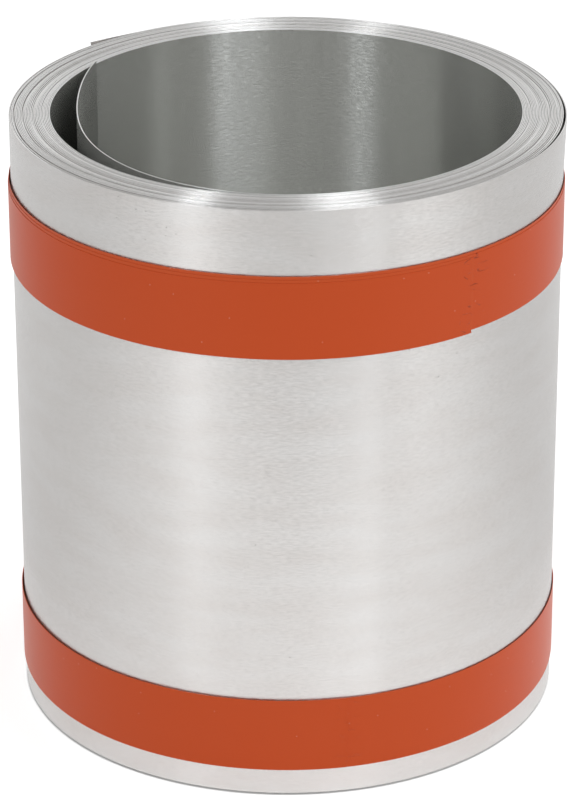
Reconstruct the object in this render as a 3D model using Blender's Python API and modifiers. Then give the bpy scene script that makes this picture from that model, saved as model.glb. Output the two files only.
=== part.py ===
"""Roll of galvanized flashing, standing on its end and held by two bands of tape.

The roll is one solid: a turned ring with a round bore, and the two ends of its strip. Both ends of the ring
show how the strip is wound: bundles of tight turns, some set back, then single turns, with a groove after
each. The strip's inner end has sprung off the bore's wall and stands a little proud of the top. Its last
turn lies loose round the ring and ends in a lap, one sheet thick, whose top corner curls away above the
tape. Each band is one ribbon of tape, wound a little under two turns. Sizes are in metres, +Z is up, and
the origin is at the centre of the bottom end.
"""

import math

import bmesh
import bpy

# The strip and its winding, from the bore outwards
SHEET_WIDTH = 0.2032
SHEET_THICKNESS = 0.0004
TURN_SLACK = 0.00008
BORE_RADIUS = 0.0759
TIGHT_BUNDLES = (6, 6, 7, 6)  # turns in each bundle
SINGLE_TURNS = 3
LAST_TURN_GAP = 0.0002  # between the ring and the loose last turn

# How the ends of the turns lie
BUNDLE_SET_BACK = 0.0003  # every second bundle sits this far inside the end plane
GROOVE_WIDTH = 0.0009
GROOVE_DEPTH = 0.0006
GROOVE_SHARE = 0.25  # a groove takes no more than this share of a narrow bundle, on each side

# The sprung inner end of the strip
TAIL_ROOT_ANGLE = math.radians(260)
TAIL_TIP_ANGLE = math.radians(146.8)
TAIL_SWING = 0.0081  # widest gap between the bore's wall and the middle of the sheet
TAIL_SKEW = 1.74  # above 1, the widest gap lies nearer the tip than the root
TAIL_ROOT_GAP = 0.00015
TAIL_TIP_GAP = 0.0003
TAIL_RISE = 0.0017  # how far the free tip climbs out of the roll
TAIL_STEPS = 32

# The loose last turn and its lapped end
LAP_ANGLE = math.radians(136)
LAP_STEP_TURN = math.radians(8)  # bare ring between the lapped end and where the last turn begins
CURL_TURN = math.radians(14)
CURL_LIFT = 0.0022  # how far the top corner stands off the roll
CURL_ABOVE_TAPE = 0.0015

# How both ends of the strip run into the ring
ROOT_TURN = math.radians(8)
ROOT_DEPTH = 0.001
EDGE_TRIM = 0.0002  # a fused sheet stops this far inside the end planes

# The tape
TAPE_WIDTH = 0.0254
TAPE_THICKNESS = 0.00015
TAPE_CLEARANCE = 0.0003
TAPE_WRAP_GAP = 0.0001

UPPER_TAPE_BELOW_TOP = 0.0198  # from the top end to the tape's highest edge
UPPER_TAPE_DRIFT = 0.002  # how far each wrap runs below the one before
UPPER_TAPE_TURNS = 1.7
UPPER_TAPE_END = math.radians(310)

LOWER_TAPE_ABOVE_BOTTOM = 0.0094  # from the bottom end to the tape's lowest edge
LOWER_TAPE_DRIFT = 0.0002
LOWER_TAPE_TURNS = 1.8
LOWER_TAPE_END = math.radians(283)

# Finishes: colour, metallic, roughness
STEEL = ((0.66, 0.66, 0.65), 1.0, 0.38)
TAPE_PLASTIC = ((0.47, 0.075, 0.025), 0.0, 0.4)

# Facets
RING_STEPS = 96
MERGE_DISTANCE = 0.00001
SHARP_ANGLE = math.radians(30)

TURN_PITCH = SHEET_THICKNESS + TURN_SLACK
RING_RADIUS = BORE_RADIUS + (sum(TIGHT_BUNDLES) + SINGLE_TURNS) * TURN_PITCH
OUTER_RADIUS = RING_RADIUS + LAST_TURN_GAP + SHEET_THICKNESS
RING_STEP = math.tau / RING_STEPS


def clear_scene():
    """Remove every object that is already in the scene."""
    for obj in list(bpy.data.objects):
        bpy.data.objects.remove(obj, do_unlink=True)


def new_collection(name):
    """Add an empty collection to the scene."""
    collection = bpy.data.collections.new(name)
    bpy.context.scene.collection.children.link(collection)
    return collection


def new_material(name, color, metallic, roughness):
    """A plain Principled material in one colour."""
    material = bpy.data.materials.new(name)
    material.use_nodes = True
    shader = material.node_tree.nodes["Principled BSDF"]
    shader.inputs["Base Color"].default_value = (*color, 1.0)
    shader.inputs["Metallic"].default_value = metallic
    shader.inputs["Roughness"].default_value = roughness
    return material


def object_from(shape, name, collection):
    """Make an object of a bmesh and free the bmesh."""
    mesh = bpy.data.meshes.new(name)
    shape.to_mesh(mesh)
    shape.free()
    obj = bpy.data.objects.new(name, mesh)
    collection.objects.link(obj)
    return obj


def end_outline():
    """Points (radius, distance inside the end plane) across one end of the ring, from the bore outwards."""
    bundles = [*TIGHT_BUNDLES, *[1] * SINGLE_TURNS]
    last = len(bundles) - 1
    points = []
    inner = BORE_RADIUS
    for number, turns in enumerate(bundles):
        outer = inner + turns * TURN_PITCH
        half_groove = min(GROOVE_WIDTH / 2, (outer - inner) * GROOVE_SHARE)
        set_back = BUNDLE_SET_BACK * (number % 2)
        points.append((inner + (half_groove if number > 0 else 0), set_back))
        points.append((outer - (half_groove if number < last else 0), set_back))
        if number < last:
            points.append((outer, BUNDLE_SET_BACK + GROOVE_DEPTH))
        inner = outer
    return points


def turned_ring(name, collection):
    """All but the last turn of the roll: a turned ring with its bore, and with its turns on both ends."""
    outline = end_outline()
    top = [(radius, SHEET_WIDTH - inside) for radius, inside in outline]
    bottom = [(radius, inside) for radius, inside in reversed(outline)]
    shape = bmesh.new()
    corners = [shape.verts.new((radius, 0, height)) for radius, height in top + bottom]
    for corner, following in zip(corners, corners[1:] + corners[:1]):
        shape.edges.new((corner, following))
    ring = object_from(shape, name, collection)
    turning = ring.modifiers.new("turning", "SCREW")
    turning.steps = RING_STEPS
    turning.render_steps = RING_STEPS
    turning.use_merge_vertices = True
    turning.merge_threshold = MERGE_DISTANCE
    return ring


def wrapped_sheet(name, steps, rows, thickness, place, collection):
    """A flat grid wrapped round the roll and made solid.

    place takes the shares of the way along and up the sheet, and gives the radius, angle and height there.
    """
    shape = bmesh.new()
    bmesh.ops.create_grid(shape, x_segments=steps, y_segments=rows, size=0.5)
    for corner in shape.verts:
        radius, angle, height = place(corner.co.x + 0.5, corner.co.y + 0.5)
        corner.co = (radius * math.cos(angle), radius * math.sin(angle), height)
    bmesh.ops.recalc_face_normals(shape, faces=shape.faces)
    sheet = object_from(shape, name, collection)
    solid = sheet.modifiers.new("thickness", "SOLIDIFY")
    solid.thickness = thickness
    solid.offset = 0.0
    solid.use_even_offset = True
    return sheet


def fuse(target, helper):
    """Join a helper to the target, and keep the helper out of renders."""
    helper.hide_render = True
    helper.display_type = "WIRE"
    union = target.modifiers.new(helper.name, "BOOLEAN")
    union.operation = "UNION"
    union.solver = "EXACT"
    union.object = helper


def mix(first, second, share):
    """The value that lies this share of the way from first to second."""
    return first + (second - first) * share


def sprung_tail(collection):
    """The strip's inner end, which leaves the bore's wall, swings inwards and comes back to it at its tip."""
    free_turn = TAIL_ROOT_ANGLE - TAIL_TIP_ANGLE
    root_gap = TAIL_ROOT_GAP + SHEET_THICKNESS / 2
    tip_gap = TAIL_TIP_GAP + SHEET_THICKNESS / 2

    def place(along, up):
        turned = mix(-ROOT_TURN, free_turn, along)
        share = turned / free_turn
        if turned < 0:
            gap = mix(root_gap, -ROOT_DEPTH, -turned / ROOT_TURN)
        else:
            gap = mix(root_gap, tip_gap, share) + TAIL_SWING * math.sin(math.pi * share**TAIL_SKEW)
        height = mix(EDGE_TRIM, SHEET_WIDTH - EDGE_TRIM, up) + TAIL_RISE * max(share, 0)
        return BORE_RADIUS - gap, TAIL_ROOT_ANGLE - turned, height

    return wrapped_sheet("sprung_tail", TAIL_STEPS, 1, SHEET_THICKNESS, place, collection)


def last_turn(collection):
    """The loose outermost turn, from its root in the ring to its lapped end with the curled corner."""
    loose_radius = OUTER_RADIUS - SHEET_THICKNESS / 2
    begin = LAP_ANGLE + LAP_STEP_TURN - math.tau
    curl_foot = SHEET_WIDTH - UPPER_TAPE_BELOW_TOP + CURL_ABOVE_TAPE
    row_heights = (EDGE_TRIM, curl_foot, mix(curl_foot, SHEET_WIDTH, 0.5), SHEET_WIDTH - EDGE_TRIM)
    rows = len(row_heights) - 1

    def place(along, up):
        angle = mix(begin, LAP_ANGLE, along)
        height = row_heights[round(up * rows)]
        radius = loose_radius
        if angle < begin + ROOT_TURN:
            radius = mix(RING_RADIUS - ROOT_DEPTH, loose_radius, (angle - begin) / ROOT_TURN)
        curl_along = max(0, 1 - (LAP_ANGLE - angle) / CURL_TURN)
        curl_up = max(0, (height - curl_foot) / (SHEET_WIDTH - curl_foot))
        return radius + CURL_LIFT * curl_along**2 * curl_up**2, angle, height

    steps = round((LAP_ANGLE - begin) / RING_STEP)
    return wrapped_sheet("last_turn", steps, rows, SHEET_THICKNESS, place, collection)


def tape_band(name, first_middle, drift, turns, end_angle, collection):
    """One ribbon of tape wound outwards round the roll, each wrap lower than the last by the drift."""
    start = end_angle - math.tau * turns
    first_radius = OUTER_RADIUS + TAPE_CLEARANCE + TAPE_THICKNESS / 2

    def place(along, up):
        wound = turns * along
        radius = first_radius + (TAPE_THICKNESS + TAPE_WRAP_GAP) * wound
        height = first_middle - drift * wound + TAPE_WIDTH * (up - 0.5)
        return radius, start + math.tau * wound, height

    band = wrapped_sheet(name, round(RING_STEPS * turns), 1, TAPE_THICKNESS, place, collection)
    return band


def settle(obj, material):
    """Make what the modifiers give the object's own mesh, smooth but for its real edges, in its material."""
    bpy.context.view_layer.update()
    graph = bpy.context.evaluated_depsgraph_get()
    mesh = bpy.data.meshes.new_from_object(obj.evaluated_get(graph))
    obj.modifiers.clear()
    obj.data = mesh
    mesh.shade_smooth()
    mesh.set_sharp_from_angle(angle=SHARP_ANGLE)
    mesh.materials.clear()
    mesh.materials.append(material)


def main():
    """Build the roll and its two bands of tape."""
    clear_scene()
    parts = new_collection("galvanized_flashing_roll")
    helpers = new_collection("helpers")
    steel = new_material("galvanized_steel", *STEEL)
    plastic = new_material("orange_tape", *TAPE_PLASTIC)

    roll = turned_ring("flashing_coil", parts)
    fuse(roll, sprung_tail(helpers))
    fuse(roll, last_turn(helpers))
    settle(roll, steel)

    upper_middle = SHEET_WIDTH - UPPER_TAPE_BELOW_TOP - TAPE_WIDTH / 2
    upper = tape_band(
        "upper_tape_band", upper_middle, UPPER_TAPE_DRIFT, UPPER_TAPE_TURNS, UPPER_TAPE_END, parts
    )
    settle(upper, plastic)
    lower_middle = LOWER_TAPE_ABOVE_BOTTOM + TAPE_WIDTH / 2 + LOWER_TAPE_DRIFT * LOWER_TAPE_TURNS
    lower = tape_band(
        "lower_tape_band", lower_middle, LOWER_TAPE_DRIFT, LOWER_TAPE_TURNS, LOWER_TAPE_END, parts
    )
    settle(lower, plastic)


main()
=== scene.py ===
"""A roll of galvanized flashing: one strip of sheet wound into a roll and held by two bands of orange tape.

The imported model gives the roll's radius and the places of the tape. From them this script winds the strip
turn by turn, with its sprung inner tail and its lapped outer end, lays the tape on it, and dresses both.
All lengths are in metres, +Z is up, and angles are seen from above, anticlockwise from +X.
"""

from __future__ import annotations

import logging
import math
from collections.abc import Iterable, Iterator, Sequence
from dataclasses import astuple, dataclass
from enum import Enum

import bpy
import numpy as np
from mathutils import Euler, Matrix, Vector


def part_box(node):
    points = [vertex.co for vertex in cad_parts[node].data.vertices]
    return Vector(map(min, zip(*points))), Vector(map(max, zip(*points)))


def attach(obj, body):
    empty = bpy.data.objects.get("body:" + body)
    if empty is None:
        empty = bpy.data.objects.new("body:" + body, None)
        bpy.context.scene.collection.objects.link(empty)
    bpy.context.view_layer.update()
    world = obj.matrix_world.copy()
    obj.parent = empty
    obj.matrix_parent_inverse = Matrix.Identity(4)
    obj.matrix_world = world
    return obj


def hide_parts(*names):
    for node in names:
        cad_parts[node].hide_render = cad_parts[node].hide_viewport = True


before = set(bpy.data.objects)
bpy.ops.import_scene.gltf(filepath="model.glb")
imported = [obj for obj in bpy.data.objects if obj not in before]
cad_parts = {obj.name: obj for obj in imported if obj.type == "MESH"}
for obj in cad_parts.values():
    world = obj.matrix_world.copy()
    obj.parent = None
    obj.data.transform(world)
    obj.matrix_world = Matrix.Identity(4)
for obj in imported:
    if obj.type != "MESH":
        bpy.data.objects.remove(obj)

LOG = logging.getLogger("flashing_roll")
ROLL_HEIGHT = 0.2032  # the sheet is eight inches wide
SHEET_MAP = "metres_along_and_up"
BAKE_MAP = "OFBake"  # the name of the map for baking; the name that the exporter looks for
NOISE_MIDDLE = 0.5  # noise varies about this value

Socket = bpy.types.NodeSocket
Value = Socket | float | tuple[float, ...]  # what can go into a socket
Material = bpy.types.Material
Color = tuple[float, float, float]
Column = tuple[float, list[float], list[Vector]]  # along and up the flat sheet, and points on the bent one
BLACK: Color = (0.0, 0.0, 0.0)
WHITE: Color = (1.0, 1.0, 1.0)


# ---- helpers


def mix(first: float, second: float, share: float) -> float:
    """Return the value that lies this share of the way from first to second."""
    return first + (second - first) * share


def ease(low: float, high: float, value: float) -> float:
    """Return a share that rises smoothly from 0 to 1 as a value passes from low to high."""
    share = min(max((value - low) / (high - low), 0.0), 1.0)
    return share * share * (3.0 - 2.0 * share)


def share_of(wave: float) -> float:
    """Return a wave's height, from -1 to 1, as a share from 0 to 1."""
    return 0.5 + 0.5 * wave


def turn_between(first: float, second: float) -> float:
    """Return the signed turn from one angle to another, between minus and plus half a turn."""
    return (second - first + math.pi) % math.tau - math.pi


def upright(angle: float, radius: float, height: float) -> Vector:
    """Return the point at this angle, radius and height round the roll's axis."""
    return Vector((radius * math.cos(angle), radius * math.sin(angle), height))


def add_object(name: str, data: bpy.types.ID) -> bpy.types.Object:
    """Add an object to the scene.

    Args:
        name: Its name.
        data: Its mesh, lamp or camera.

    Returns:
        The object.
    """
    item = bpy.data.objects.new(name, data)
    bpy.context.scene.collection.objects.link(item)
    return item


@dataclass
class Ripple:
    """A smooth random line that never repeats, made of a few sine waves.

    Attributes:
        seed: Picks the line.
        wavelength: The longest wave, in the unit of the value that is passed in.
        waves: How many waves are added, each shorter and weaker than the last.
        shorter: Each wave's length as a share of the one before.
        weaker: Each wave's height as a share of the one before.
    """

    seed: int
    wavelength: float
    waves: int = 4
    shorter: float = 0.57
    weaker: float = 0.7

    def __post_init__(self) -> None:
        """Draw each wave's phase."""
        self.phases = np.random.default_rng(self.seed).uniform(0.0, math.tau, self.waves)
        self.total = sum(self.weaker**number for number in range(self.waves))

    def at(self, place: float) -> float:
        """Follow the line.

        Args:
            place: How far along the line to look.

        Returns:
            Its height there, from -1 to 1.
        """
        height = 0.0
        for number, phase in enumerate(self.phases):
            length = self.wavelength * self.shorter**number
            height += self.weaker**number * math.sin(math.tau * place / length + phase)
        return height / self.total


class Sheeting:
    """Builds a bent sheet from columns of points, and turns it into a solid piece."""

    SHARP = math.radians(60)

    @staticmethod
    def surface(name: str, columns: Iterable[Column]) -> bpy.types.Object:
        """Join columns of points into one open surface.

        Neighbouring columns may hold different numbers of points. One face between them then takes them all.

        Args:
            name: The new object's name.
            columns: The columns in order, each from the bottom edge to the top edge.

        Returns:
            The object, with a UV map that holds metres along and up the flat sheet.
        """
        points: list[Vector] = []
        places: list[tuple[float, float]] = []
        numbers: list[list[int]] = []
        for along, ups, column in columns:
            numbers.append(list(range(len(points), len(points) + len(column))))
            points.extend(column)
            places.extend((along, up) for up in ups)
        faces: list[list[int]] = []
        for left, right in zip(numbers, numbers[1:]):
            if len(left) == len(right):
                faces.extend(
                    [left[row], right[row], right[row + 1], left[row + 1]] for row in range(len(left) - 1)
                )
            else:
                faces.append(right + left[::-1])
        mesh = bpy.data.meshes.new(name)
        mesh.from_pydata(points, [], faces)
        corners = np.array([corner for face in faces for corner in face])
        layer = mesh.uv_layers.new(name=SHEET_MAP)
        layer.uv.foreach_set("vector", np.array(places, np.float32)[corners].ravel())
        return add_object(name, mesh)

    @staticmethod
    def thicken(piece: bpy.types.Object, thickness: float, rounding: float) -> None:
        """Make a surface solid, round its cut edges a little and smooth its bends.

        Args:
            piece: The open surface. Its second material, if any, goes on the cut edges.
            thickness: The sheet's thickness.
            rounding: How much of each edge the rounding takes.
        """
        solid = piece.modifiers.new("thickness", "SOLIDIFY")
        solid.thickness = thickness
        solid.offset = 0.0
        solid.use_even_offset = True
        solid.material_offset_rim = 1
        edges = piece.modifiers.new("rounded_edges", "BEVEL")
        edges.width = rounding
        edges.segments = 1
        edges.limit_method = "ANGLE"
        edges.angle_limit = Sheeting.SHARP
        edges.harden_normals = True
        piece.data.shade_smooth()
        bpy.context.view_layer.update()
        graph = bpy.context.evaluated_depsgraph_get()
        mesh = bpy.data.meshes.new_from_object(
            piece.evaluated_get(graph), preserve_all_data_layers=True, depsgraph=graph
        )
        piece.modifiers.clear()
        piece.data = mesh
        mesh.name = piece.name


def dress_in_place(piece: bpy.types.Object, node: str) -> None:
    """Put a finished piece in its node's place, on the roll's one body.

    Args:
        piece: The finished piece.
        node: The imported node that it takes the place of.
    """
    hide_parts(node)
    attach(piece, "root")
    LOG.info("%s: %d faces in place of %s", piece.name, len(piece.data.polygons), node)


# ---- node work


class Wiring:
    """Adds nodes to one shader tree and joins them."""

    def __init__(self, tree: bpy.types.NodeTree) -> None:
        """Take the tree that the nodes go in."""
        self.tree = tree

    def put(self, socket: Socket, value: Value) -> None:
        """Join an output to a socket, or set the socket to a plain value.

        Args:
            socket: The input socket.
            value: Another node's output, a number, a vector or a colour.
        """
        if isinstance(value, Socket):
            self.tree.links.new(value, socket)
        elif isinstance(value, tuple) and len(value) == 3 and socket.type == "RGBA":
            socket.default_value = (*value, 1.0)
        else:
            socket.default_value = value

    def add(self, kind: str, inputs: dict[str | int, Value] | None = None,
            **settings: object) -> bpy.types.Node:
        """Add one node.

        Args:
            kind: The node's type without its ShaderNode prefix.
            inputs: What goes into its sockets, by name or number.
            settings: Its own properties.

        Returns:
            The node.
        """
        node = self.tree.nodes.new("ShaderNode" + kind)
        for setting, value in settings.items():
            setattr(node, setting, value)
        for socket, value in (inputs or {}).items():
            self.put(node.inputs[socket], value)
        return node

    def math(self, operation: str, *values: Value) -> Socket:
        """Return the result of a Math node on these values."""
        return self.add("Math", dict(enumerate(values)), operation=operation).outputs[0]

    def spread(self, value: Value, low: float, high: float, to_low: Value = 0.0, to_high: Value = 1.0,
               smooth: bool = False) -> Socket:
        """Map a value from one range to another.

        Args:
            value: The value to map.
            low: Maps to to_low.
            high: Maps to to_high.
            to_low: The result at low.
            to_high: The result at high.
            smooth: Whether the ends of the range are eased.

        Returns:
            The mapped value's socket.
        """
        kind = "SMOOTHSTEP" if smooth else "LINEAR"
        sockets = {"Value": value, "From Min": low, "From Max": high, "To Min": to_low, "To Max": to_high}
        return self.add("MapRange", sockets, interpolation_type=kind).outputs["Result"]

    def between(self, share: Value, first: Value, second: Value) -> Socket:
        """Return the value that lies this share of the way from first to second."""
        return self.spread(share, 0.0, 1.0, first, second)

    def blend(self, share: Value, first: Value, second: Value) -> Socket:
        """Mix two colours.

        Args:
            share: How much of the second colour there is.
            first: The colour at 0.
            second: The colour at 1.

        Returns:
            The mixed colour's socket.
        """
        node = self.add("Mix", data_type="RGBA")
        sockets = {socket.identifier: socket for socket in (*node.inputs, *node.outputs)}
        for name, value in (("Factor_Float", share), ("A_Color", first), ("B_Color", second)):
            self.put(sockets[name], value)
        return sockets["Result_Color"]

    def vectors(self, operation: str, *values: Value) -> Socket:
        """Return the result of a Vector Math node, a number where the operation gives one."""
        node = self.add("VectorMath", dict(enumerate(values)), operation=operation)
        return node.outputs["Value" if operation in ("DISTANCE", "DOT_PRODUCT") else "Vector"]

    def stretched(self, place: Value, along: Value, across: Value) -> Socket:
        """Return a place on the flat sheet, counted in grains of this length and height."""
        grain = self.add("CombineXYZ", {"X": along, "Y": across, "Z": 1.0}).outputs[0]
        return self.vectors("DIVIDE", place, grain)

    def noise(self, place: Value, detail: float, roughness: float) -> Socket:
        """Return flat noise at a place that is counted in grains."""
        sockets = {"Vector": place, "Scale": 1.0, "Detail": detail, "Roughness": roughness}
        return self.add("TexNoise", sockets, noise_dimensions="2D").outputs["Fac"]

    def use(self, group: bpy.types.NodeTree, inputs: dict[str, Value]) -> Socket:
        """Return the one output of a node group that is placed with these inputs."""
        return self.add("Group", inputs, node_tree=group).outputs[0]

    def drawn_out(self, group: bpy.types.NodeTree, place: Value, length: float, height: float) -> Socket:
        """Return the noise of a group, with grains or patches of this length and height."""
        return self.use(group, {"Vector": place, "Length": length, "Height": height})


class MaterialWiring(Wiring):
    """The wiring of one new material, with its Principled shader."""

    ACROSS = 0.25  # of a full turn, from along the brushing to across it

    def __init__(self, name: str) -> None:
        """Start the material.

        Args:
            name: The material's name.
        """
        self.material = bpy.data.materials.new(name)
        self.material.use_nodes = True
        super().__init__(self.material.node_tree)
        self.shader = self.tree.nodes["Principled BSDF"]

    def give(self, socket: str, value: Value) -> None:
        """Set one of the shader's sockets."""
        self.put(self.shader.inputs[socket], value)

    def sheet_place(self) -> Socket:
        """Return the place along and up the flat sheet, in metres."""
        return self.add("UVMap", uv_map=SHEET_MAP).outputs["UV"]

    def brush(self, roughness: Value, anisotropy: float) -> None:
        """Brush the metal round the roll, so that its highlights stretch across the brushing.

        Args:
            roughness: How rough it is.
            anisotropy: How far the highlights stretch.
        """
        self.give("Roughness", roughness)
        self.give("Anisotropic", anisotropy)
        self.give("Anisotropic Rotation", self.ACROSS)
        self.give("Tangent", self.add("Tangent", direction_type="RADIAL", axis="Z").outputs[0])


@dataclass(frozen=True)
class NoiseKind:
    """One kind of noise that is drawn out along the sheet.

    Attributes:
        name: Its node group's name.
        length: The usual length of one grain or patch.
        height: Its usual height.
        detail: How much finer noise is added.
        kept: The range of raw noise that is spread over 0 to 1.
        roughness: How strong the finer noise is.
    """

    name: str
    length: float
    height: float
    detail: float
    kept: tuple[float, float]
    roughness: float = 0.6


class Effects:
    """The shader node groups that more than one material uses. Each is built once."""

    GRAIN = NoiseKind("rolling_grain", length=0.01, height=0.0004, detail=3.0, kept=(0.25, 0.75))
    PATCHES = NoiseKind("soft_patches", length=0.03, height=0.015, detail=4.0, kept=(0.3, 0.7))
    SPECK_SIZES = {"Vector": None, "Spacing": 0.012, "Radius": 0.0002, "Share": 0.5}
    SPECK_CORE = 0.5  # the share of its radius within which a speck is whole

    def __init__(self) -> None:
        """Build every group."""
        self.grain = self.build_noise(self.GRAIN)
        self.patches = self.build_noise(self.PATCHES)
        self.specks = self.build_specks()

    @staticmethod
    def start(name: str, inputs: dict[str, float | None], output: str
              ) -> tuple[Wiring, bpy.types.NodeOutputs, Socket]:
        """Start a node group with one output.

        Args:
            name: The group's name.
            inputs: Its inputs and their usual values, None for a vector.
            output: Its output's name.

        Returns:
            The group's wiring, what its inputs give and the socket that its result goes into.
        """
        tree = bpy.data.node_groups.new(name, "ShaderNodeTree")
        for socket, value in inputs.items():
            kind = "NodeSocketVector" if value is None else "NodeSocketFloat"
            made = tree.interface.new_socket(socket, in_out="INPUT", socket_type=kind)
            if value is not None:
                made.default_value = value
        tree.interface.new_socket(output, in_out="OUTPUT", socket_type="NodeSocketFloat")
        entry = tree.nodes.new("NodeGroupInput")
        leave = tree.nodes.new("NodeGroupOutput")
        return Wiring(tree), entry.outputs, leave.inputs[output]

    def build_noise(self, kind: NoiseKind) -> bpy.types.NodeTree:
        """Build a group of noise that is spread over 0 to 1.

        Args:
            kind: What the noise is like.

        Returns:
            The group.
        """
        sizes = {"Vector": None, "Length": kind.length, "Height": kind.height}
        work, given, result = self.start(kind.name, sizes, "Share")
        place = work.stretched(given["Vector"], given["Length"], given["Height"])
        work.put(result, work.spread(work.noise(place, kind.detail, kind.roughness), *kind.kept))
        return work.tree

    def build_specks(self) -> bpy.types.NodeTree:
        """Build a group of scattered small round specks.

        Returns:
            The group.
        """
        work, given, result = self.start("specks", self.SPECK_SIZES, "Specks")
        place = work.stretched(given["Vector"], given["Spacing"], given["Spacing"])
        cells = work.add("TexVoronoi", {"Vector": place, "Scale": 1.0}, voronoi_dimensions="2D")
        drawn = work.add("SeparateXYZ", {0: cells.outputs["Color"]}).outputs[0]
        picked = work.math("LESS_THAN", drawn, given["Share"])
        reach = work.math("DIVIDE", given["Radius"], given["Spacing"])
        away = work.math("DIVIDE", cells.outputs["Distance"], reach)
        round_speck = work.spread(away, self.SPECK_CORE, 1.0, 1.0, 0.0)
        work.put(result, work.math("MULTIPLY", picked, round_speck))
        return work.tree


# ---- finishes


@dataclass(frozen=True)
class Brushing:
    """How a brushed face takes the light.

    Attributes:
        smoothest: How rough the smoothest grains are.
        roughest: How rough the roughest grains are, which lean up the most.
        tilt: How far single grains lean up or down.
        shade: How much darker the grains that lean up are: painted shade that partly cancels the light their
            lean catches.
    """

    smoothest: float
    roughest: float
    tilt: float
    shade: float


@dataclass(frozen=True)
class ZincFinish:
    """The sheet's rolled and galvanized faces. Its first metre, which lines the bore, is a little greener
    and darker: partly its own tint, partly painted shade of the dim bore.
    """

    name: str = "galvanized_zinc"
    warm: Color = (0.650, 0.628, 0.611)
    cool: Color = (0.678, 0.665, 0.653)
    lining_tint_and_shade: Color = (0.600, 0.605, 0.579)
    pit: Color = (0.20, 0.19, 0.17)
    metallic: float = 0.9
    lining: Brushing = Brushing(smoothest=0.25, roughest=0.27, tilt=0.115, shade=0.08)
    rest: Brushing = Brushing(smoothest=0.205, roughest=0.255, tilt=0.08, shade=0.02)
    lining_until: tuple[float, float] = (0.9, 1.5)
    anisotropy: float = 1.0
    grain_length: float = 0.0023
    grain_height: float = 0.00055
    patch_length: float = 0.030
    patch_height: float = 0.008
    pit_spacing: float = 0.0035
    pit_radius: float = 0.00022
    pit_patch: float = 0.06
    pit_crowds: tuple[float, float] = (0.85, 1.0)  # the patches where pits grow more common
    pit_share: tuple[float, float] = (0.004, 0.25)

    def material(self, effects: Effects) -> Material:
        """Make the finish.

        Args:
            effects: The node groups that it uses.

        Returns:
            The new material.
        """
        work = MaterialWiring(self.name)
        sheet = work.sheet_place()
        beyond = work.spread(work.add("SeparateXYZ", {0: sheet}).outputs[0], *self.lining_until)
        grain = work.drawn_out(effects.grain, sheet, self.grain_length, self.grain_height)
        patches = work.drawn_out(effects.patches, sheet, self.patch_length, self.patch_height)
        crowds = work.drawn_out(effects.patches, sheet, self.pit_patch, self.pit_patch)
        pits = work.use(effects.specks, {
            "Vector": sheet, "Spacing": self.pit_spacing, "Radius": self.pit_radius,
            "Share": work.spread(crowds, *self.pit_crowds, *self.pit_share),
        })
        smoothest, roughest, tilt, shade = (
            work.between(beyond, *pair) for pair in zip(astuple(self.lining), astuple(self.rest))
        )
        # the bore's lining takes a greener, darker colour: partly its own tint, partly painted shade of the
        # bore
        color = work.blend(beyond, self.lining_tint_and_shade, work.blend(patches, self.warm, self.cool))
        # painted shade on the grains that lean up, against the extra light that they catch
        color = work.blend(work.math("MULTIPLY", grain, shade), color, BLACK)
        work.give("Base Color", work.blend(pits, color, self.pit))
        work.give("Metallic", self.metallic)
        work.brush(work.between(grain, smoothest, roughest), self.anisotropy)
        work.give("Normal", self.leaning(work, grain, tilt))
        return work.material

    @staticmethod
    def leaning(work: Wiring, grain: Value, tilt: Value) -> Socket:
        """Lean single grains up or down, never sideways.

        Args:
            work: The material's wiring.
            grain: A mask that leans a grain up where it is 1 and down where it is 0.
            tilt: How far they lean.

        Returns:
            The normal's socket.
        """
        slope = work.math("MULTIPLY", work.between(grain, -1.0, 1.0), tilt)
        upward = work.add("CombineXYZ", {"Z": slope}).outputs[0]
        leaned = work.vectors("ADD", work.add("NewGeometry").outputs["Normal"], upward)
        return work.vectors("NORMALIZE", leaned)


@dataclass(frozen=True)
class ShearedEdgeFinish:
    """The bare steel of the strip's sheared edges."""

    name: str = "sheared_steel_edge"
    color: Color = (0.80, 0.79, 0.775)
    bright: Color = (0.88, 0.875, 0.87)
    metallic: float = 0.7
    roughness: float = 0.41
    anisotropy: float = 1.0
    shade_length: float = 0.05
    nick_length: float = 0.0012
    nick_depth: float = 0.00002
    across: float = 1.0  # far more than the edge's height, so that nothing changes across it

    def material(self, effects: Effects) -> Material:
        """Make the finish.

        Args:
            effects: The node groups that it uses.

        Returns:
            The new material.
        """
        work = MaterialWiring(self.name)
        sheet = work.sheet_place()
        shade = work.drawn_out(effects.patches, sheet, self.shade_length, self.across)
        nicks = work.drawn_out(effects.grain, sheet, self.nick_length, self.across)
        work.give("Base Color", work.blend(shade, self.color, self.bright))
        work.give("Metallic", self.metallic)
        work.brush(self.roughness, self.anisotropy)
        work.give("Normal", work.add("Bump", {"Height": nicks, "Distance": self.nick_depth}).outputs[0])
        return work.material


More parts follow.
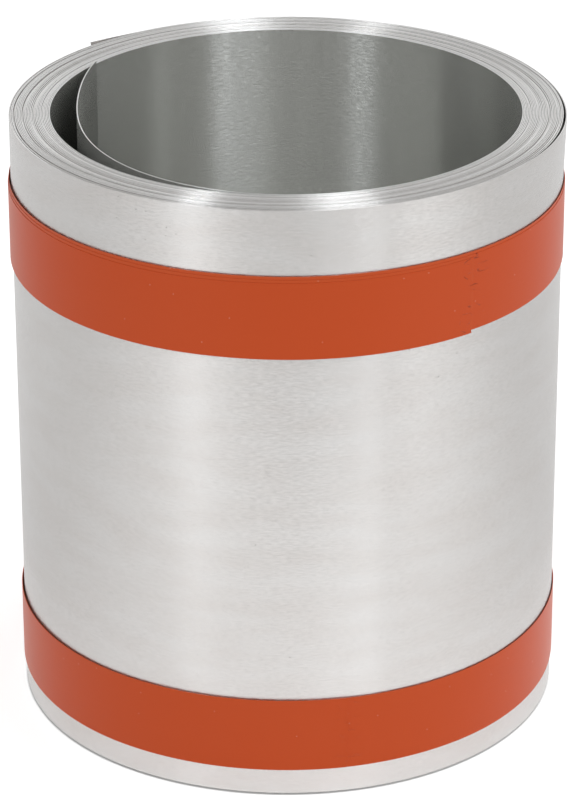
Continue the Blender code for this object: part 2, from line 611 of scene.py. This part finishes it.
@dataclass(frozen=True)
class TapeFinish:
    """Glossy orange tape, deeper in colour on its last wrap and crumpled where it was torn off, with painted
    shade in its creases.

    Its places along the tape are counted back from the torn end, so they are below zero.
    """

    name: str
    creasing: float
    first_wraps: Color = (0.600, 0.086, 0.018)
    last_wrap: Color = (0.595, 0.077, 0.014)
    dust: Color = (0.75, 0.45, 0.35)
    roughness: float = 0.34
    shine: float = 0.2
    wrap_length: float = 0.5675  # once round the roll
    patch_length: float = 0.04
    patch_height: float = 0.01
    patch_share: float = 0.12
    dust_spacing: float = 0.009
    dust_radius: float = 0.00018
    dust_share: float = 0.2
    stretch_length: float = 0.02
    stretch_height: float = 0.0012
    stretch_depth: float = 0.00001
    crease_length: float = 0.010
    crease_run: float = 0.005  # about how long one crease stays unbroken
    crease_height: float = 0.0024
    crease_detail: float = 0.7
    crease_roughness: float = 0.5
    crease_depth: float = 0.0003
    crease_band: tuple[float, float] = (0.0, 0.022)
    crease_shade: float = 0.32
    crease_kept: tuple[float, float] = (0.5, 0.75)
    crumpled: tuple[float, float] = (0.001, 0.008)

    def material(self, effects: Effects) -> Material:
        """Make the finish.

        Args:
            effects: The node groups that it uses.

        Returns:
            The new material.
        """
        work = MaterialWiring(self.name)
        tape = work.sheet_place()
        along = work.add("SeparateXYZ", {0: tape}).outputs[0]
        last = work.math("GREATER_THAN", along, -self.wrap_length)
        patches = work.drawn_out(effects.patches, tape, self.patch_length, self.patch_height)
        dust = work.use(effects.specks, {"Vector": tape, "Spacing": self.dust_spacing,
                                         "Radius": self.dust_radius, "Share": self.dust_share})
        kept = work.drawn_out(effects.patches, tape, self.crease_run, self.crease_height)
        kept = work.spread(kept, *self.crease_kept)
        crease = work.math("MULTIPLY", self.creases(work, along, tape), kept)
        color = work.blend(last, self.first_wraps, self.last_wrap)
        color = work.blend(work.math("MULTIPLY", patches, self.patch_share), color, self.first_wraps)
        # painted shade in the creases
        color = work.blend(work.math("MULTIPLY", crease, self.crease_shade), color, BLACK)
        work.give("Base Color", work.blend(dust, color, self.dust))
        work.give("Roughness", self.roughness)
        work.give("Specular IOR Level", self.shine)
        stretch = work.drawn_out(effects.grain, tape, self.stretch_length, self.stretch_height)
        pulled = work.add("Bump", {"Height": stretch, "Distance": self.stretch_depth}).outputs[0]
        relief = {"Height": crease, "Distance": self.crease_depth, "Normal": pulled}
        work.give("Normal", work.add("Bump", relief, invert=True).outputs[0])
        return work.material

    def creases(self, work: Wiring, along: Value, tape: Value) -> Socket:
        """Draw thin creases along the tape on every wrap beside the torn end.

        Args:
            work: The material's wiring.
            along: How far along the tape a place is.
            tape: The place along and up the tape.

        Returns:
            The socket of a mask that is 1 in a crease.
        """
        wrap = self.wrap_length
        away = work.math("ABSOLUTE", work.math("WRAP", along, wrap / 2, -wrap / 2))
        near = work.spread(away, *self.crumpled, self.creasing, 0.0, smooth=True)
        place = work.stretched(tape, self.crease_length, self.crease_height)
        drawn = work.noise(place, self.crease_detail, self.crease_roughness)
        beside = work.math("ABSOLUTE", work.math("SUBTRACT", drawn, NOISE_MIDDLE))
        return work.math("MULTIPLY", near, work.spread(beside, *self.crease_band, 1.0, 0.0))


# ---- the roll


@dataclass(frozen=True)
class EndGroove:
    """A ring on the roll's ends where the turns sit back.

    Attributes:
        radius: The ring's radius.
        width: How wide it looks, from one land to the next.
        depth: How far its deepest turn sits back.
        deepest_at: The angle where it is deepest.
        evenness: 1 for the same depth all round, and 0 where it fades out on the far side.
    """

    radius: float
    width: float
    depth: float
    deepest_at: float
    evenness: float = 0.8

    def depth_at(self, radius: float, angle: float) -> float:
        """Find how far a turn sits back.

        Args:
            radius: The turn's radius.
            angle: Where on the turn to look.

        Returns:
            The depth there.
        """
        across = math.exp(-((2.0 * (radius - self.radius) / self.width) ** 2))
        around = mix(share_of(math.cos(angle - self.deepest_at)), 1.0, self.evenness)
        return self.depth * across * around


@dataclass
class WoundStrip:
    """The flashing itself: one strip of sheet, wound anticlockwise from the bore outwards.

    Its inner end, the tail, has sprung off the bore's wall. Its outer end has a curled top corner, and its
    last turn bulges a little at the top.
    """

    roll_height: float
    outer_radius: float
    tail_top: float
    name: str = "wound_flashing_strip"
    bore_radius: float = 0.0759
    thickness: float = 0.0004
    rounding: float = 0.00006
    columns_per_turn: int = 180
    full_turns: int = 29
    root_angle: float = math.radians(270)
    tip_angle: float = math.radians(147)
    end_angle: float = math.radians(136)
    tail_swing: float = 0.00815
    tail_skew: float = 1.95  # above 1, the bow is widest nearer the tip than the root
    tail_tip_gap: float = 0.0005
    set_back: float = 0.0008  # how much narrower the strip is than the roll is high
    set_back_wander: float = 0.07
    curl_turn: float = math.radians(15)
    curl_lift: float = 0.0022
    curl_foot: float = 0.9  # the share of the strip's width at which the curl and the bulge begin
    bulge_angle: float = math.radians(348)
    bulge_turn: float = math.radians(34)
    bulge_lift: float = 0.0007
    loose_turns: float = 1.02  # the outermost turns, bent along rows at these shares of their width
    loose_rows: tuple[float, ...] = (0.0, 0.02, 0.045, 0.3, 0.6, 0.88, 0.905, 0.93, 0.95, 0.97, 0.985, 1.0)
    grooves: tuple[EndGroove, ...] = (
        EndGroove(radius=0.0786, width=0.0006, depth=0.00025, deepest_at=math.radians(200)),
        EndGroove(radius=0.0818, width=0.0014, depth=0.0005, deepest_at=math.radians(180)),
        EndGroove(radius=0.0849, width=0.0007, depth=0.0007, deepest_at=math.radians(240)),
        EndGroove(radius=0.0879, width=0.0006, depth=0.0007, deepest_at=math.radians(240)),
        EndGroove(radius=0.0889, width=0.0005, depth=0.0003, deepest_at=math.radians(285), evenness=0.2),
    )

    def __post_init__(self) -> None:
        """Work out the winding from the driving sizes."""
        self.tail_turns = (self.root_angle - self.tip_angle) / math.tau
        self.turns = self.full_turns + (self.end_angle - self.root_angle) / math.tau
        first, last = self.bore_radius + self.thickness / 2, self.outer_radius - self.thickness / 2
        self.first_radius = first
        self.pitch = (last - first) / self.turns
        self.width = self.roll_height - self.set_back
        self.wander = Ripple(seed=5, wavelength=1.9)

    def radius_at(self, wound: float, up: float) -> float:
        """Return the sheet's middle radius.

        Args:
            wound: Turns from the tail's root outwards, below zero along the tail.
            up: The share of the way up the sheet.

        Returns:
            The radius, with the tail's bow and the loose outer turn's curl and bulge.
        """
        radius = self.first_radius + self.pitch * wound
        if wound < 0:
            share = -wound / self.tail_turns
            bow = self.tail_swing * math.sin(math.pi * share**self.tail_skew)
            return radius - bow - self.tail_tip_gap * share
        left = (self.turns - wound) * math.tau
        above = max(0.0, (up - self.curl_foot) / (1.0 - self.curl_foot))
        curl = self.curl_lift * max(0.0, 1.0 - left / self.curl_turn) ** 2 * above**2
        away = turn_between(self.bulge_angle, self.angle_at(wound)) / self.bulge_turn
        bulge = 0.0
        if left < math.tau and abs(away) < 1:
            bulge = self.bulge_lift * share_of(math.cos(math.pi * away)) * above
        return radius + curl + bulge

    def angle_at(self, wound: float) -> float:
        """Return the angle that is reached after this many turns from the root."""
        return self.root_angle + math.tau * wound

    def lift_at(self, wound: float) -> float:
        """Find how far the strip's lower edge stands above the floor.

        Args:
            wound: Turns from the tail's root outwards, below zero along the tail.

        Returns:
            The height of the edge.
        """
        radius, angle = self.radius_at(wound, 0.0), self.angle_at(wound)
        if wound < 0:
            rise = (self.tail_top - self.roll_height) * -wound / self.tail_turns
            return self.land_at(wound) + rise
        sunk = sum(groove.depth_at(radius, angle) for groove in self.grooves)
        return max(0.0, self.land_at(wound) - sunk)

    def land_at(self, wound: float) -> float:
        """Return how high the lower edge stands where no groove takes the turn down."""
        return self.set_back * (1.0 - self.set_back_wander * (1.0 - self.wander.at(wound)))

    def columns(self) -> Iterator[Column]:
        """Wind the strip from its tip outwards.

        Yields:
            One column of its points after another.
        """
        count = round((self.turns + self.tail_turns) * self.columns_per_turn)
        along = 0.0
        foot: Vector | None = None
        for number in range(count + 1):
            wound = mix(-self.tail_turns, self.turns, number / count)
            shares = self.loose_rows if wound > self.turns - self.loose_turns else (0.0, 1.0)
            angle, lift = self.angle_at(wound), self.lift_at(wound)
            column = [upright(angle, self.radius_at(wound, up), lift + self.width * up) for up in shares]
            if foot is not None:
                along += (column[0] - foot).length
            foot = column[0]
            yield along, [self.width * up for up in shares], column

    def build(self) -> bpy.types.Object:
        """Return the strip as an open surface with a UV map in metres."""
        return Sheeting.surface(self.name, self.columns())

    def dress(self, piece: bpy.types.Object, materials: Sequence[Material]) -> None:
        """Give the strip its materials, make it solid and lay it out flat for baking.

        Args:
            piece: What build returned.
            materials: The material of its faces and that of its cut edges.
        """
        for material in materials:
            piece.data.materials.append(material)
        Sheeting.thicken(piece, self.thickness, self.rounding)
        StripLayout(self).lay_out(piece.data)


class StripSide(Enum):
    """The sides of the wound strip. Each value is the side's corner on the flat layout, in metres."""

    OUTSIDE = (0.0, 0.0)
    BORE = (0.0, 0.206)
    TOP = (0.0, 0.412)
    UNDERSIDE = (0.184, 0.412)
    TAIL_BACK = (0.368, 0.412)
    CUT_ENDS = (0.56, 0.412)
    BETWEEN_TURNS = (0.0, 0.62)


@dataclass
class StripLayout:
    """Lays the sides of the strip that show next to each other, so that a baked picture of them is sharp.

    The faces between the turns, which nobody sees, share one narrow row.
    """

    strip: WoundStrip
    size: float = 0.655  # of the whole layout, in metres
    row_height: float = 0.03
    facing: float = 0.3  # how far a face on a side looks towards the axis or away from it
    level: float = 0.5  # how far a face on an edge looks up or down
    cut_stretch: float = 10.0  # times as wide, since the cut ends are thin
    shown_turns: float = 1.03  # outside, and as many in the bore

    def lay_out(self, mesh: bpy.types.Mesh) -> None:
        """Add the bake map.

        Args:
            mesh: The strip's finished mesh.
        """
        strip = self.strip
        flat = self.read(mesh.uv_layers[SHEET_MAP].uv, "vector", 2)
        corners = self.read(mesh.loops, "vertex_index", 1, np.int32).ravel()
        points = self.read(mesh.vertices, "co", 3)[corners, :2]
        counts = self.read(mesh.polygons, "loop_total", 1, np.int32).ravel()
        normal = np.repeat(self.read(mesh.polygons, "normal", 3), counts, axis=0)
        radius = np.linalg.norm(points, axis=1, keepdims=True)
        outward = (normal[:, :2] * points / radius).sum(axis=1)
        outside, inside = outward > self.facing, outward < -self.facing
        along, full = flat[:, 0], float(flat[:, 0].max())
        tail = strip.tail_turns * math.tau * (strip.first_radius - strip.tail_swing / 2)
        turn = self.shown_turns * math.tau
        last = full - turn * strip.outer_radius
        ring = points + strip.outer_radius
        across = np.hstack([self.cut_stretch * (radius - strip.bore_radius), flat[:, 1:]])
        sides = {
            StripSide.CUT_ENDS: (~outside & ~inside, across % (self.size - StripSide.CUT_ENDS.value[0])),
            StripSide.OUTSIDE: (outside & (along > last), flat - (last, 0.0)),
            StripSide.BORE: (inside & (along < tail + turn * strip.bore_radius), flat),
            StripSide.TAIL_BACK: (outside & (along < tail), flat),
            StripSide.TOP: (normal[:, 2] > self.level, ring),
            StripSide.UNDERSIDE: (normal[:, 2] < -self.level, ring),
        }
        result = flat * (self.size / full, self.row_height / strip.width) + StripSide.BETWEEN_TURNS.value
        for side, (shown, place) in sides.items():
            result[shown] = (place + side.value)[shown]
        layer = mesh.uv_layers.new(name=BAKE_MAP, do_init=False)
        layer.uv.foreach_set("vector", (result / self.size).astype(np.float32).ravel())

    @staticmethod
    def read(items: Sequence[object], name: str, width: int, kind: type = np.float32) -> np.ndarray:
        """Read one property of every item.

        Args:
            items: The mesh's vertices, loops, polygons or map places.
            name: The property.
            width: How many numbers it has.
            kind: Their type.

        Returns:
            The numbers, with a row for each item.
        """
        values = np.empty(len(items) * width, kind)
        items.foreach_get(name, values)
        return values.reshape(-1, width)


# ---- the tape


class Wrap(Enum):
    """The two places where tape holds the roll, by the node that each ribbon takes the place of."""

    UPPER = "upper_tape_band"
    LOWER = "lower_tape_band"


@dataclass(frozen=True)
class Winding:
    """How one ribbon of tape was wound and torn off.

    Attributes:
        turns: How many times it goes round.
        end_angle: The angle where it ends.
        drop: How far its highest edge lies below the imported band's.
        drift: How much lower each wrap lies than the one before.
        creasing: How strong the creases beside its end are, at most 1.
        seed: Picks the waver of its edges and how it was torn.
    """

    turns: float
    end_angle: float
    drop: float
    drift: float
    creasing: float
    seed: int


WINDINGS = {
    Wrap.UPPER: Winding(2.7, math.radians(310), drop=0.001, drift=0.001, creasing=1.0, seed=3),
    Wrap.LOWER: Winding(1.8, math.radians(283), drop=0.0002, drift=0.0, creasing=0.3, seed=11),
}


@dataclass
class TapeBand:
    """One ribbon of tape, wound round the roll."""

    name: str
    winding: Winding
    top: float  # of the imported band
    roll_radius: float
    width: float = 0.0254
    thickness: float = 0.00012
    clearance: float = 0.00012
    layer_step: float = 0.00015  # how much further out each wrap lies
    layer_blend: float = 0.01  # in turns, on both sides of the place where it climbs
    spiral: float = 0.02  # how many more steps it climbs in a turn
    rounding: float = 0.00002
    columns_per_turn: int = 240
    finer: int = 6  # times as many columns beside the torn end
    rows: int = 32
    waver: float = 0.00012
    tear_reach: float = 0.008
    tear_depth: float = 0.0022
    tear_wave: float = 0.35

    def __post_init__(self) -> None:
        """Draw the waver of the edges and the tear."""
        self.edge = Ripple(self.winding.seed, wavelength=0.45)
        self.torn = Ripple(self.winding.seed + 1, self.tear_wave, waves=5, weaker=0.8)

    def stations(self) -> list[float]:
        """Place the columns, closer together beside the torn end.

        Returns:
            The number of turns at which each stands.
        """
        turns = self.winding.turns
        count = round(self.columns_per_turn * turns) * self.finer
        reach = self.tear_reach / (math.tau * self.roll_radius)
        numbers = [number for number in range(count + 1)
                   if number % self.finer == 0 or turns * (1.0 - number / count) < reach]
        return [turns * number / count for number in numbers]

    def radius_at(self, wound: float) -> float:
        """Find how far out the tape lies.

        Args:
            wound: The turns up to there.

        Returns:
            The radius of the tape's middle.
        """
        steps = sum(ease(wrap - self.layer_blend, wrap + self.layer_blend, wound)
                    for wrap in range(1, math.ceil(self.winding.turns)))
        climb = self.layer_step * (steps + wound * self.spiral)
        return self.roll_radius + self.clearance + self.thickness / 2 + climb

    def columns(self) -> Iterator[Column]:
        """Wind the tape on the roll, up to its torn end.

        Yields:
            One column of its points after another.
        """
        winding = self.winding
        start = winding.end_angle - math.tau * winding.turns
        for wound in self.stations():
            radius = self.radius_at(wound)
            left = (winding.turns - wound) * math.tau * radius
            bottom = self.top - winding.drop - self.width - winding.drift * wound
            bottom += self.waver * self.edge.at(wound)
            ups = [self.width * row / self.rows for row in range(self.rows + 1)]
            column = []
            for up in ups:
                torn_off = self.tear_depth * share_of(self.torn.at(up / self.width))
                torn_off *= 1.0 - ease(0.0, self.tear_reach, left)
                column.append(upright(start + math.tau * wound - torn_off / radius, radius, bottom + up))
            yield -left, [bottom + up for up in ups], column

    def build(self) -> bpy.types.Object:
        """Return the tape as an open surface, whose UV map counts metres from the torn end and the floor."""
        return Sheeting.surface(self.name, self.columns())

    def dress(self, piece: bpy.types.Object, material: Material) -> None:
        """Give the tape its material and make it solid."""
        piece.data.materials.append(material)
        Sheeting.thicken(piece, self.thickness, self.rounding)


# ---- the studio


@dataclass(frozen=True)
class Softbox:
    """A tall soft lamp that stands to one side of the camera and shows only in what is shiny."""

    name: str
    azimuth: float
    elevation: float
    height: float
    brightness: float
    width: float = 0.24
    distance: float = 1.3
    color: Color = (0.93, 0.965, 1.0)

    def place(self, target: Vector) -> None:
        """Stand the lamp in the scene.

        Args:
            target: The point that it faces.
        """
        lamp = bpy.data.lights.new(self.name, "AREA")
        lamp.shape = "RECTANGLE"
        lamp.size, lamp.size_y = self.width, self.height
        lamp.energy = self.brightness * math.pi * self.width * self.height
        lamp.color = self.color
        toward = upright(self.azimuth, math.cos(self.elevation), math.sin(self.elevation))
        holder = add_object(self.name, lamp)
        holder.location = target + toward * self.distance
        holder.rotation_euler = (-toward).to_track_quat("-Z", "Y").to_euler()
        holder.visible_camera = False
        holder.visible_diffuse = False


@dataclass(frozen=True)
class FloorSpot:
    """A round soft-edged spot that metal sees on the floor, brighter or darker than the rest.

    Attributes:
        center: Its middle on the floor.
        edge: The radii between which it fades out.
        glow: How much brighter it is, or darker if below zero.
    """

    center: tuple[float, float]
    edge: tuple[float, float]
    glow: float


@dataclass
class Studio:
    """A pale floor, bright surroundings, softboxes and the camera.

    The floor and the surroundings are white to the camera. Metal sees them shaded, as a real studio is: the
    sky brightest above the camera, and the floor bright near the roll and dark below the camera.
    """

    roll_height: float
    roll_radius: float
    contact_edge: float = 0.0005  # how far inside the roll's wall the floor is dark to the camera
    floor_radius: float = 6.0
    floor_corners: int = 64
    floor_color: Color = (0.75, 0.75, 0.75)
    floor_roughness: float = 0.9
    floor_shine: float = 0.1
    floor_glow: float = 0.5
    far_glow: float = 0.14
    floor_spots: tuple[FloorSpot, ...] = (
        FloorSpot(center=(0.139, -0.90), edge=(0.623, 1.045), glow=0.40),
        FloorSpot(center=(0.130, -0.84), edge=(0.360, 0.600), glow=-0.54),
        FloorSpot(center=(0.0, 0.0), edge=(0.115, 0.180), glow=0.15),
    )
    fill: float = 0.92
    fill_slant: float = 0.28
    sky_glow: float = 1.25
    sky_lean: float = 1.6
    bright_side: float = math.radians(272)
    sky_heights: tuple[float, float, float] = (math.radians(20), math.radians(45), math.radians(70))
    camera_distance: float = 1.1737
    camera_rise: float = 0.4350
    camera_pitch: float = math.radians(24.659)
    camera_roll: float = math.radians(-0.14)
    lens: float = 174.16
    shift_x: float = -0.00154
    softboxes: tuple[Softbox, ...] = (
        Softbox("left_softbox", math.radians(227), math.radians(42), height=0.45, brightness=12.1),
        Softbox("right_softbox", math.radians(303.5), math.radians(46), height=1.3, brightness=5.4),
        Softbox("right_scrim", math.radians(291), math.radians(52), height=1.0, brightness=3.8),
    )

    def build(self) -> None:
        """Set up everything round the roll."""
        self.lay_floor()
        self.light_surroundings()
        for softbox in self.softboxes:
            softbox.place(Vector((0.0, 0.0, self.roll_height / 2)))
        self.set_camera()

    def lay_floor(self) -> None:
        """Lay a round pale floor."""
        mesh = bpy.data.meshes.new("floor")
        angles = np.linspace(0.0, math.tau, self.floor_corners, endpoint=False)
        corners = [upright(angle, self.floor_radius, 0.0) for angle in angles]
        mesh.from_pydata(corners, [], [range(len(corners))])
        mesh.materials.append(self.floor_material())
        add_object("floor", mesh)

    def floor_material(self) -> Material:
        """Make the floor's material.

        Returns:
            A material that glows one way for the camera and another way for metal.
        """
        work = MaterialWiring("pale_floor")
        work.give("Base Color", self.floor_color)
        work.give("Roughness", self.floor_roughness)
        work.give("Specular IOR Level", self.floor_shine)
        path = work.add("LightPath")
        place = work.add("TexCoord").outputs["Object"]
        mirrored: Value = self.far_glow
        for spot in self.floor_spots:
            away = work.vectors("DISTANCE", place, (*spot.center, 0.0))
            cast = work.spread(away, *spot.edge, spot.glow, 0.0, smooth=True)
            mirrored = work.math("ADD", mirrored, cast)
        mirrored = work.math("MAXIMUM", mirrored, 0.0)
        glow = work.between(path.outputs["Is Glossy Ray"], 0.0, mirrored)
        from_axis = work.vectors("DISTANCE", place, (0.0, 0.0, 0.0))
        under, beside = self.roll_radius - self.contact_edge, self.roll_radius
        seen = work.spread(from_axis, under, beside, 0.0, self.floor_glow)
        glow = work.between(path.outputs["Is Camera Ray"], glow, seen)
        work.give("Emission Color", WHITE)
        work.give("Emission Strength", glow)
        return work.material

    def light_surroundings(self) -> None:
        """Make the surroundings white to the camera, a shaded sky to metal, and a soft even light."""
        world = bpy.data.worlds.new("bright_surroundings")
        world.use_nodes = True
        bpy.context.scene.world = world
        work = Wiring(world.node_tree)
        background = world.node_tree.nodes["Background"]
        direction = work.add("TexCoord").outputs["Generated"]
        sideways, _, upward = work.add("SeparateXYZ", {0: direction}).outputs
        height = work.math("ARCSINE", upward)
        low, middle, high = self.sky_heights
        bright = tuple(upright(self.bright_side, self.sky_lean, 0.0))
        toward = work.vectors("DOT_PRODUCT", direction, bright)
        leaning = work.spread(height, low, middle, 0.0, toward)
        ring = work.math("ADD", work.spread(height, 0.0, low, 0.0, self.sky_glow), leaning)
        mirrored = work.math("MULTIPLY", ring, work.spread(height, middle, high, 1.0, 0.0))
        mirrored = work.math("MAXIMUM", mirrored, 0.0)
        slant = self.fill * self.fill_slant
        cast = work.spread(sideways, -1.0, 1.0, self.fill - slant, self.fill + slant)
        path = work.add("LightPath")
        strength = work.between(path.outputs["Is Glossy Ray"], cast, mirrored)
        strength = work.between(path.outputs["Is Camera Ray"], strength, 1.0)
        work.put(background.inputs["Color"], WHITE)
        work.put(background.inputs["Strength"], strength)

    def set_camera(self) -> None:
        """Place the camera in front of the roll, looking down on it."""
        data = bpy.data.cameras.new("camera")
        data.lens = self.lens
        data.shift_x = self.shift_x
        camera = add_object("camera", data)
        camera.location = (0.0, -self.camera_distance, self.roll_height + self.camera_rise)
        aim = Euler((math.pi / 2 - self.camera_pitch, 0.0, 0.0)).to_matrix()
        camera.rotation_euler = (aim @ Euler((0.0, 0.0, self.camera_roll)).to_matrix()).to_euler()
        bpy.context.scene.camera = camera


# ---- main


def main() -> None:
    """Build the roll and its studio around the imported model."""
    logging.basicConfig(level=logging.INFO, format="%(name)s: %(message)s")
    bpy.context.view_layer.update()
    effects = Effects()

    coil_low, coil_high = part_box("flashing_coil")
    strip = WoundStrip(ROLL_HEIGHT, outer_radius=-coil_low.x, tail_top=coil_high.z)
    roll = strip.build()
    strip.dress(roll, [ZincFinish().material(effects), ShearedEdgeFinish().material(effects)])
    dress_in_place(roll, "flashing_coil")

    for wrap, winding in WINDINGS.items():
        _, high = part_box(wrap.value)
        name = wrap.value.replace("_band", "_ribbon")
        band = TapeBand(name, winding, high.z, strip.outer_radius)
        ribbon = band.build()
        band.dress(ribbon, TapeFinish(name + "_film", winding.creasing).material(effects))
        dress_in_place(ribbon, wrap.value)

    Studio(ROLL_HEIGHT, strip.outer_radius).build()
    bpy.context.scene.view_settings.view_transform = "Standard"


if __name__ == "__main__":
    main()
